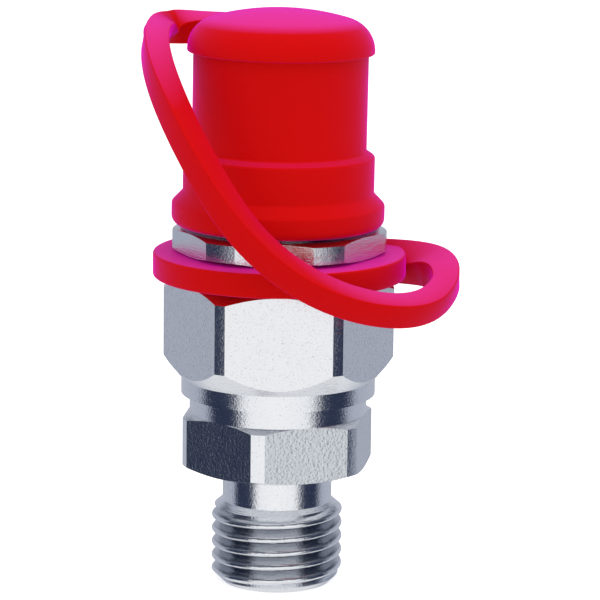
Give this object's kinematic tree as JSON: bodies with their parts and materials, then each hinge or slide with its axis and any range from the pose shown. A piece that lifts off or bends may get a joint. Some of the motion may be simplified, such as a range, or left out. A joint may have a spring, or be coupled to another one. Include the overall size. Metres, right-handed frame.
{
  "type": "hydraulic test point coupling",
  "caption": "Screw-in hydraulic test point coupling with a hexagon body, a spring check valve, a threaded nose and a red dust cap held by a moulded strap and ring.",
  "frame": {"origin": "on the axis of the port thread, in the plane of the shoulder that seats on the port", "axes": "+Z along the axis from the port thread towards the dust cap, -Y towards the side where the strap crosses the cap, +X towards the strap's loop"},
  "size_m": [0.0336, 0.0312, 0.0616],
  "materials": {
    "zinc_plated_steel": "turned and milled steel with clear zinc plating",
    "valve_steel": "bare stainless steel",
    "black_rubber": "smooth nitrile rubber",
    "white_plastic": "plain PTFE",
    "red_plastic": "soft moulded red plastic with a satin sheen"
  },
  "bodies": {
    "fitting": {"port_stud": "zinc_plated_steel", "coupling_body": "zinc_plated_steel", "retaining_nut": "zinc_plated_steel", "seal_bush": "zinc_plated_steel", "spring_seat": "valve_steel", "body_seal": "black_rubber", "probe_seal": "black_rubber", "backup_ring": "white_plastic", "valve_spring": "valve_steel"},
    "poppet": {"valve_poppet": "valve_steel", "poppet_seal": "black_rubber"},
    "ring": {"strap_ring": "red_plastic", "cap_strap": "red_plastic"},
    "cap": {"dust_cap": "red_plastic"}
  },
  "joints": [
    {"name": "ring_turn", "type": "hinge", "parent": "fitting", "child": "ring", "pos_m": [0, 0, 0.0219], "axis": [0, 0, 1], "continuous": true},
    {"name": "cap_lift", "type": "slide", "parent": "ring", "child": "cap", "axis": [0, 0, 1], "range_m": [0, 0.032], "deforming": ["cap_strap"]},
    {"name": "valve_open", "type": "slide", "parent": "fitting", "child": "poppet", "axis": [0, 0, -1], "range_m": [0, 0.0025], "stiffness_N_per_m": 1500, "springref_m": -0.002, "deforming": ["valve_spring"]}
  ]
}
